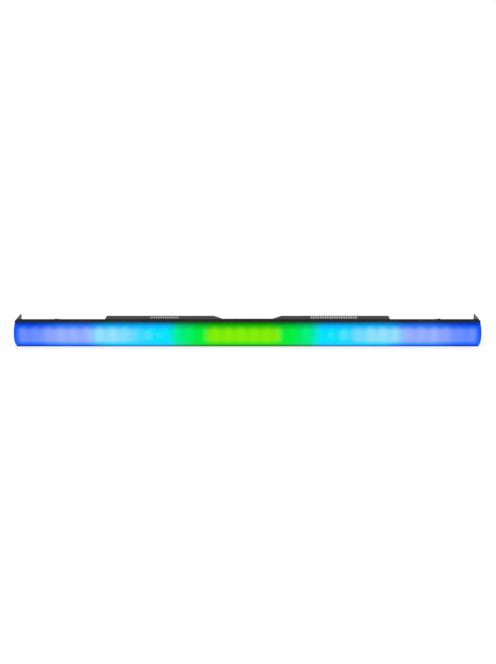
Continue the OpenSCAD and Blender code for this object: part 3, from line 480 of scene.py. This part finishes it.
def profile_material():
    """Black coated extrusion; the front of the upper lip carries a painted spill of the lens light,
    a glow in the lens colour.
    """
    graph = extruded_graph("profile_black", (0.010, 0.010, 0.011), 0.60, 0.05)
    # Painted light: the lens colour glows on the front face of the upper lip and fades upwards,
    # standing in for lens light falling on the lip.
    rim = show_ramp(graph, graph.axis("X"), RIM_SHOW)
    front = graph.ranged(graph.axis("Y"), LENS_LOW.y + 16.2 * MM, LENS_LOW.y + 15.7 * MM)
    upward = graph.ranged(graph.axis("Z"), BAR_HIGH.z - 3.8 * MM, BAR_HIGH.z - 0.6 * MM, 0.24, 0.0)
    painted_lens_spill = graph.math("MULTIPLY", front, upward)
    graph.drive("Emission Color", graph.blend(1.0, rim, graph.grey(painted_lens_spill), "MULTIPLY"))
    graph.value("Emission Strength", 1.0)
    return graph.material


# ---------- mesh building ----------


def make_object(name, build, material, body="bar", smooth=True):
    """Builds a mesh with bmesh in a function and makes it a piece that rides on a body."""
    mesh = bpy.data.meshes.new(name)
    shape = bmesh.new()
    build(shape)
    bmesh.ops.recalc_face_normals(shape, faces=shape.faces)
    shape.to_mesh(mesh)
    shape.free()
    for polygon in mesh.polygons:
        polygon.use_smooth = smooth
    piece = bpy.data.objects.new(name, mesh)
    bpy.context.collection.objects.link(piece)
    piece.data.materials.append(material)
    if smooth:
        keep_sharp(piece)
    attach(piece, body)
    return piece


def keep_sharp(piece, angle=32.0):
    """Marks edges over the angle as sharp, so that smooth shading keeps them."""
    shape = bmesh.new()
    shape.from_mesh(piece.data)
    limit = math.radians(angle)
    for edge in shape.edges:
        edge.smooth = len(edge.link_faces) == 2 and edge.calc_face_angle(0.0) < limit
    shape.to_mesh(piece.data)
    shape.free()


def skin(shape, rings):
    """Joins rings of the same number of vertices, and caps both ends."""
    count = len(rings[0])
    for first, second in zip(rings, rings[1:]):
        for i in range(count):
            j = (i + 1) % count
            shape.faces.new((first[i], first[j], second[j], second[i]))
    shape.faces.new(rings[0])
    shape.faces.new(rings[-1])


def loft(shape, outline, stations):
    """Sweeps a list of (y, z) points over a list of x stations."""
    skin(shape, [[shape.verts.new((x, y, z)) for y, z in outline] for x in stations])


def turned(shape, centre, axis, zero, profile, steps=48, ripple=None):
    """Turns (along, radius) points in millimetres about an axis. Angles start from zero."""
    axis, zero = Vector(axis), Vector(zero)
    side = axis.cross(zero)
    rings = []
    for along, radius in profile:
        ring = []
        for k in range(steps):
            angle = 2 * math.pi * k / steps
            far = radius * (ripple(radius, angle) if ripple else 1.0) * MM
            spoke = zero * math.cos(angle) + side * math.sin(angle)
            ring.append(shape.verts.new(centre + axis * along * MM + spoke * far))
        rings.append(ring)
    skin(shape, rings)


def prism(shape, outline, low_y, high_y):
    """A flat piece that faces the back: an outline of (x, z) points with a thickness in y."""
    skin(shape, [[shape.verts.new((x, y, z)) for x, z in outline] for y in (low_y, high_y)])


def rounded(outline, radius, steps=4):
    """Rounds every corner of a convex outline."""
    points = []
    count = len(outline)
    for i, corner in enumerate(outline):
        here = Vector(corner)
        before = (Vector(outline[i - 1]) - here).normalized()
        after = (Vector(outline[(i + 1) % count]) - here).normalized()
        start, end = here + before * radius, here + after * radius
        for k in range(steps + 1):
            t = k / steps
            points.append(tuple((1 - t) ** 2 * start + 2 * t * (1 - t) * here + t * t * end))
    return points


def arc_outline(radius, wall, high_y, low_y, steps=64):
    """Shell of an arc round the front, from one depth at the top to another below."""
    centre_y = LENS_LOW.y + LENS_R
    start = math.acos((centre_y - high_y) / radius)
    end = math.acos((centre_y - low_y) / radius)
    angles = [start - (start + end) * k / steps for k in range(steps + 1)]
    outer = [(centre_y - radius * math.cos(a), MID_Z + radius * math.sin(a)) for a in angles]
    within = radius - wall
    inner = [(centre_y - within * math.cos(a), MID_Z + within * math.sin(a)) for a in angles]
    return outer + inner[::-1]


def box_outline(low_y, low_z, high_y, high_z):
    return [(low_y, low_z), (high_y, low_z), (high_y, high_z), (low_y, high_z)]


# Places of the lens wall and its feet, as depths behind its front
LIP_DEPTHS = (15.3 * MM, 19.5 * MM)
FOOT_DEPTHS = (19.7 * MM, 22.7 * MM)
SKIRT_DEPTH = 18.5 * MM
SKIRT_OVERLAP = 2.1 * MM
FOOT_RISE = 3.9 * MM
LOWER_FOOT_Z = 2.0 * MM
END_SETBACK = 2.25 * MM


def stations(half, count=72):
    return [-half + 2 * half * k / count for k in range(count + 1)]


def make_lens():
    """The wall covers the end plates; behind the lips it is shorter and carries two feet."""
    front = LENS_LOW.y
    lips = [front + depth for depth in LIP_DEPTHS]
    upper_foot, lower_foot = (front + depth for depth in FOOT_DEPTHS)
    skirt_top = MID_Z - LENS_R + SKIRT_OVERLAP
    foot_low = BAR_LOW.z + LOWER_FOOT_Z
    whole = [
        arc_outline(LENS_R, LENS_WALL, *lips),
        rounded(box_outline(front + SKIRT_DEPTH, LENS_LOW.z, lips[1], skirt_top), 0.3 * MM),
    ]
    shorter = [
        arc_outline(LENS_R - 0.04 * MM, LENS_WALL, upper_foot, lower_foot),
        box_outline(upper_foot - 2 * MM, LENS_HIGH.z - FOOT_RISE, upper_foot, LENS_HIGH.z),
        box_outline(lower_foot - 1.2 * MM, foot_low, lower_foot, foot_low + FOOT_RISE),
    ]

    def build(shape):
        for outline in whole:
            loft(shape, outline, stations(HALF_LENS))
        for outline in shorter:
            loft(shape, outline, stations(HALF_LENS - END_SETBACK))

    piece = make_object("lens", build, lens_material())
    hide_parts("diffuser")
    return piece


# ---------- knobs, buttons, display and thread ----------


GRIP_LOBES = 6
SCOOP_SHARE = 0.145
HUB_RADIUS = 10.0


def lobed(radius, angle):
    """Round lobes with a scoop between each two. Rings inside the hub radius stay round."""
    if radius < HUB_RADIUS:
        return 1.0
    scoop = (0.5 - 0.5 * math.cos(GRIP_LOBES * angle)) ** 2
    return 1.0 - SCOOP_SHARE * scoop


def make_knobs(plastic, metal):
    """Clamp knobs: lobed grip with rounded rims, a cap recess and a threaded stud.

    Both profiles are (along, radius) in millimetres, measured inwards from the face.
    """
    grip = [
        (-21.4, 6.5), (-21.1, 7.0), (-16.2, 7.0), (-15.6, 7.3), (-15.4, 7.9), (-15.4, 11.4),
        (-15.1, 12.1), (-14.4, 12.5), (-9.0, 12.9), (-3.6, 13.3), (-3.0, 13.9), (-1.3, 14.0),
        (-0.5, 13.7), (-0.1, 13.1), (0.0, 12.3), (0.0, 7.4), (-0.2, 6.5), (-0.9, 6.1),
        (-1.2, 5.4), (-1.2, 0.3),
    ]
    thread = [(-30.0, 2.4)]
    for ridge in range(16):
        start = -29.6 + ridge * 0.5
        thread += [(start, 2.62), (start + 0.25, 2.98)]
    thread += [(-21.5, 2.98)]
    for side, sign in (("left", -1), ("right", 1)):
        low, high = (Vector(corner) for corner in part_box(f"knob_{side}"))
        face = Vector((high.x if sign > 0 else low.x, (low.y + high.y) / 2, (low.z + high.z) / 2))
        outward, zero = (sign, 0, 0), (0, 0, 1)
        piece = make_object(
            f"grip_{side}",
            lambda shape: turned(shape, face, outward, zero, grip, 96, lobed),
            plastic,
            body=f"{side}_knob",
        )
        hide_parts(f"knob_{side}")
        make_object(
            f"stud_{side}",
            lambda shape: turned(shape, face, outward, zero, thread, 40),
            metal,
            body=f"{side}_knob",
        )


# Outlines of the plain symbols, in millimetres from the middle of a button
ARROW = [(-1.7, -1.2), (1.7, -1.2), (0.0, 1.8)]
BUTTON_MARKS = {
    "menu": [[(-1.7, z), (1.7, z), (1.7, z + 0.7), (-1.7, z + 0.7)] for z in (-1.6, -0.35, 0.9)],
    "down": [[(x, -z) for x, z in ARROW]],
    "up": [ARROW],
    "enter": [[(-1.3, -1.3), (1.3, -1.3), (1.3, 1.3), (-1.3, 1.3)]],
}


def make_buttons(rubber, ink):
    """Push buttons with a rounded, slightly dished cap and a plain symbol."""
    collar_width = 1.2
    for name, outlines in BUTTON_MARKS.items():
        low, high = (Vector(corner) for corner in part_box(f"button_{name}"))
        foot = Vector(((low.x + high.x) / 2, low.y, (low.z + high.z) / 2))
        tall = (high.y - low.y) / MM
        collar = (high.x - low.x) / MM / 2
        radius = collar - collar_width
        cap = [
            (0.0, collar - 0.2), (0.2, collar), (0.8, collar), (1.0, collar - 0.2), (1.0, radius),
            (tall - 1.1, radius), (tall - 0.6, radius - 0.12), (tall - 0.25, radius - 0.45),
            (tall - 0.1, radius - 0.95), (tall - 0.16, radius - 1.6), (tall - 0.22, 0.3),
        ]
        piece = make_object(
            f"cap_{name}",
            lambda shape: turned(shape, foot, (0, 1, 0), (0, 0, 1), cap),
            rubber,
            body=f"{name}_key",
        )
        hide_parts(f"button_{name}")

        def symbol(shape):
            for outline in outlines:
                placed = [(foot.x - x * MM, foot.z + z * MM) for x, z in outline]
                prism(shape, placed, high.y - 0.4 * MM, high.y - 0.05 * MM)

        make_object(f"symbol_{name}", symbol, ink, body=f"{name}_key", smooth=False)


def make_readout(lit):
    """The lit middle bar of each digit, in front of the grooves of the display."""
    low, high = (Vector(corner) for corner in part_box("menu_display"))
    middle_x, middle_z = (low.x + high.x) / 2, (low.z + high.z) / 2
    digit_pitch = 12.4 * MM

    def bars(shape):
        for digit in (-1.5, -0.5, 0.5, 1.5):
            x = middle_x + digit * digit_pitch
            ends = [(-2.1, 0.0), (-1.6, -0.5), (1.6, -0.5), (2.1, 0.0), (1.6, 0.5), (-1.6, 0.5)]
            outline = [(x + a * MM, middle_z + b * MM) for a, b in ends]
            prism(shape, outline, high.y - 0.45 * MM, high.y + 0.12 * MM)

    make_object("readout_bars", bars, lit, smooth=False)


def make_boss_thread(steel):
    """The thread inside the boss that takes a hanging clamp."""
    low, high = (Vector(corner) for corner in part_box("clamp_plate"))
    centre_z = (low.z + high.z) / 2
    bore, crest, pitch = 4.3 * MM, 4.02 * MM, 1.25 * MM
    per_turn = 36
    turns = (high.y - low.y) / pitch - 1.2
    section = ((bore, -0.45 * pitch), (crest, 0.0), (bore, 0.45 * pitch))

    def ridge(shape):
        rings = []
        for k in range(int(turns * per_turn)):
            angle = 2 * math.pi * k / per_turn
            y = low.y + (0.6 + k / per_turn) * pitch
            ring = []
            for r, step in section:
                place = (r * math.sin(angle), y + step, centre_z + r * math.cos(angle))
                ring.append(shape.verts.new(place))
            rings.append(ring)
        skin(shape, rings)

    make_object("boss_thread", ridge, steel)


# ---------- finishes of the carried-over nodes ----------


def finishes():
    """Material of each CAD node, by name. The lens has its own."""
    steel = powder_coat("steel_black", (0.020, 0.020, 0.022), 0.50, 0.45)
    deck = deck_material()
    profile = profile_material()
    zinc = plated("zinc", (0.62, 0.63, 0.66), 0.34)
    black_screw = plated("screw_black", (0.05, 0.05, 0.053), 0.42)
    nylon = moulded("plug_white", (0.80, 0.79, 0.72), 0.45)
    plastic = moulded("plastic_black", (0.016, 0.016, 0.017), 0.48)
    teal = circuit_board("board_teal", (0.012, 0.10, 0.12), (0.62, 0.60, 0.52))
    key = moulded("button_grey", (0.44, 0.45, 0.46), 0.5, 2600.0)
    cable = moulded("cable_black", (0.015, 0.015, 0.016), 0.62)
    table = {
        "front_profile": profile,
        "led_packages": moulded("led_amber", (0.86, 0.84, 0.62), 0.25, 900.0, 0.05),
        "board_screws": zinc,
        "board_links": nylon,
        "end_screws": black_screw,
        "chassis_screws": zinc,
        "cover_screws": black_screw,
        "clamp_screws": zinc,
        "clamp_spacers": zinc,
        "safety_eye": zinc,
        "power_inlet": moulded("socket_blue", (0.035, 0.10, 0.42), 0.38),
        "power_outlet": moulded("socket_grey", (0.30, 0.315, 0.33), 0.38),
        "dmx_input": powder_coat("socket_black", (0.018, 0.018, 0.019), 0.38, 0.5, 1600.0),
        "dmx_latch": plated("latch_metal", (0.58, 0.59, 0.61), 0.3),
        "socket_screws": zinc,
        "power_board": circuit_board("board_green", (0.015, 0.13, 0.04), (0.60, 0.57, 0.45)),
        "power_windings": moulded("winding_tape", (0.66, 0.42, 0.05), 0.4, 700.0, 0.1),
        "power_capacitors": moulded("capacitor_sleeve", (0.02, 0.025, 0.09), 0.25, 500.0, 0.05),
        "power_heat_sink": plated("bare_aluminium", (0.66, 0.67, 0.69), 0.4),
        "control_board": teal,
        "menu_board": teal,
        "control_chips": moulded("chip_black", (0.012, 0.012, 0.012), 0.6, 3000.0),
        "terminal_blocks": moulded("terminal_green", (0.03, 0.24, 0.08), 0.42),
        "menu_spacers": nylon,
        "board_standoffs": plated("brass_plain", (0.72, 0.56, 0.24), 0.3),
        "fuse_holder": plastic,
        "fuse_cap": plastic,
        "fuse_link": moulded("fuse_glass", (0.70, 0.76, 0.74), 0.12, 200.0, 0.02),
        "mains_cable": cable,
        "ear_screws": zinc,
        "pivot_ears": steel,
        "clamp_plate": steel,
        "wireway_cover": deck,
        "menu_display": moulded("display_black", (0.012, 0.012, 0.013), 0.3, 1200.0, 0.05),
        "menu_window": window_material(),
    }
    table["menu_switches"] = table["control_chips"]
    table["dmx_output"] = table["dmx_input"]
    table["earth_stud"] = table["board_standoffs"]
    table["data_cable"] = cable
    board = circuit_board("board_white", (0.80, 0.81, 0.80), (0.72, 0.68, 0.55))
    for number in range(1, 5):
        table[f"led_board_{number}"] = board
    for name in ("menu", "down", "up", "enter"):
        table[f"button_{name}"] = key
    rubber = ribbed_rubber("pad_rubber")
    for side in ("left", "right"):
        table[f"end_plate_{side}"] = steel
        table[f"chassis_{side}"] = deck
        table[f"rear_cover_{side}"] = steel
        table[f"bracket_{side}"] = steel
        table[f"knob_{side}"] = plastic
        table[f"foot_pad_{side}"] = rubber
    return table


DECK_BLACK = (0.020, 0.020, 0.022)
MARK_Y = 8.5 * MM
# Rows of hollow blocks: start, count, pitch, width, depth, line, in millimetres
MARK_ROWS = [(-212, 8, 7.8, 5.8, 11.0, 1.6), (136, 10, 10.2, 7.8, 15.0, 2.3)]


def deck_material():
    """Powder coat with a plain printed row of hollow blocks on each deck, in place of lettering."""
    graph = Graph("deck_black")
    coat = scuffed(graph, DECK_BLACK, SCUFF_GREY, 0.5)
    marks = []
    for start, count, pitch, width, depth, line in MARK_ROWS:
        along = graph.math("SUBTRACT", graph.axis("X"), start * MM)
        whole = count * pitch * MM / 2
        inside = graph.math("COMPARE", along, whole, whole)
        phase = graph.math("FRACT", graph.math("DIVIDE", along, pitch * MM))
        aside = graph.math("ABSOLUTE", graph.math("SUBTRACT", phase, 0.5))
        aside = graph.math("SUBTRACT", graph.math("MULTIPLY", aside, pitch), width / 2)
        above = graph.math("ABSOLUTE", graph.math("SUBTRACT", graph.axis("Y"), MARK_Y))
        above = graph.math("SUBTRACT", graph.math("DIVIDE", above, MM), depth / 2)
        edge = graph.math("MAXIMUM", aside, above)
        stroke = graph.math("COMPARE", edge, -line / 2, line / 2)
        marks.append(graph.math("MULTIPLY", inside, stroke))
    top = graph.math("GREATER_THAN", graph.axis("Z"), BAR_HIGH.z - 0.4 * MM)
    mark = graph.math("MULTIPLY", graph.math("ADD", *marks), top)
    worn = graph.ranged(graph.noise(900.0, 2.0), 0.25, 0.45, 0.75, 1.0)
    graph.colour(graph.blend(graph.math("MULTIPLY", mark, worn), coat, (0.60, 0.60, 0.60)))
    finish_powder(graph, 0.50, 0.45)
    return graph.material


def window_material():
    """Dark red filter over the display, a little smeared."""
    graph = Graph("window_red")
    smear = graph.noise(120.0, 3.0)
    tint = graph.ranged(smear, 0.3, 0.8)
    graph.colour(graph.blend(tint, (0.30, 0.012, 0.012), (0.40, 0.02, 0.02)))
    graph.drive("Roughness", graph.ranged(smear, 0.3, 0.8, 0.03, 0.10))
    graph.value("Transmission Weight", 0.85)
    return graph.material


def soften(piece, width):
    """Small rounded edges on a folded or machined piece."""
    weld = piece.modifiers.new("weld", "WELD")
    weld.merge_threshold = 1e-6
    bevel = piece.modifiers.new("bevel", "BEVEL")
    bevel.width = width
    bevel.segments = 2
    bevel.limit_method = "ANGLE"
    bevel.angle_limit = math.radians(50)
    bevel.use_clamp_overlap = True
    bevel.harden_normals = True


# Widths of the rounded edges, in millimetres
SOFT_NODES = {
    "end_plate_left": 0.35, "end_plate_right": 0.35, "bracket_left": 0.45, "bracket_right": 0.45,
    "clamp_plate": 0.4, "pivot_ears": 0.4, "wireway_cover": 0.25, "menu_window": 0.2,
    "power_heat_sink": 0.15, "terminal_blocks": 0.25, "board_links": 0.25, "control_chips": 0.12,
}


def dress_cad(table):
    """Puts the materials on the CAD nodes, and rounds the edges that show."""
    for name, material in table.items():
        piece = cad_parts[name]
        piece.data.materials.clear()
        piece.data.materials.append(material)
    for name, width in SOFT_NODES.items():
        soften(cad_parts[name], width * MM)


def lit_red():
    """A display segment that is on."""
    graph = Graph("segment_lit")
    glow = graph.ranged(graph.noise(700.0, 2.0), 0.3, 0.7, 0.9, 1.1)
    graph.colour(graph.blend(glow, (0.3, 0.01, 0.01), (0.4, 0.02, 0.015)))
    graph.value("Emission Color", (1.0, 0.05, 0.03, 1.0))
    graph.value("Emission Strength", 6.0)
    return graph.material


def keep_floor_white(lens, floor):
    """The lens lights everything but the paper."""
    lit_by_lens = bpy.data.collections.new("lit_by_lens")
    lit_by_lens.objects.link(floor)
    lit_by_lens.collection_objects[0].light_linking.link_state = "EXCLUDE"
    lens.light_linking.receiver_collection = lit_by_lens


make_camera()
make_lights()
keep_floor_white(make_lens(), make_floor())
coats = finishes()
dress_cad(coats)
make_knobs(coats["knob_left"], coats["clamp_spacers"])
make_buttons(coats["button_menu"], moulded("symbol_ink", (0.03, 0.03, 0.032), 0.6, 2600.0, 0.05))
make_readout(lit_red())
make_boss_thread(coats["clamp_plate"])
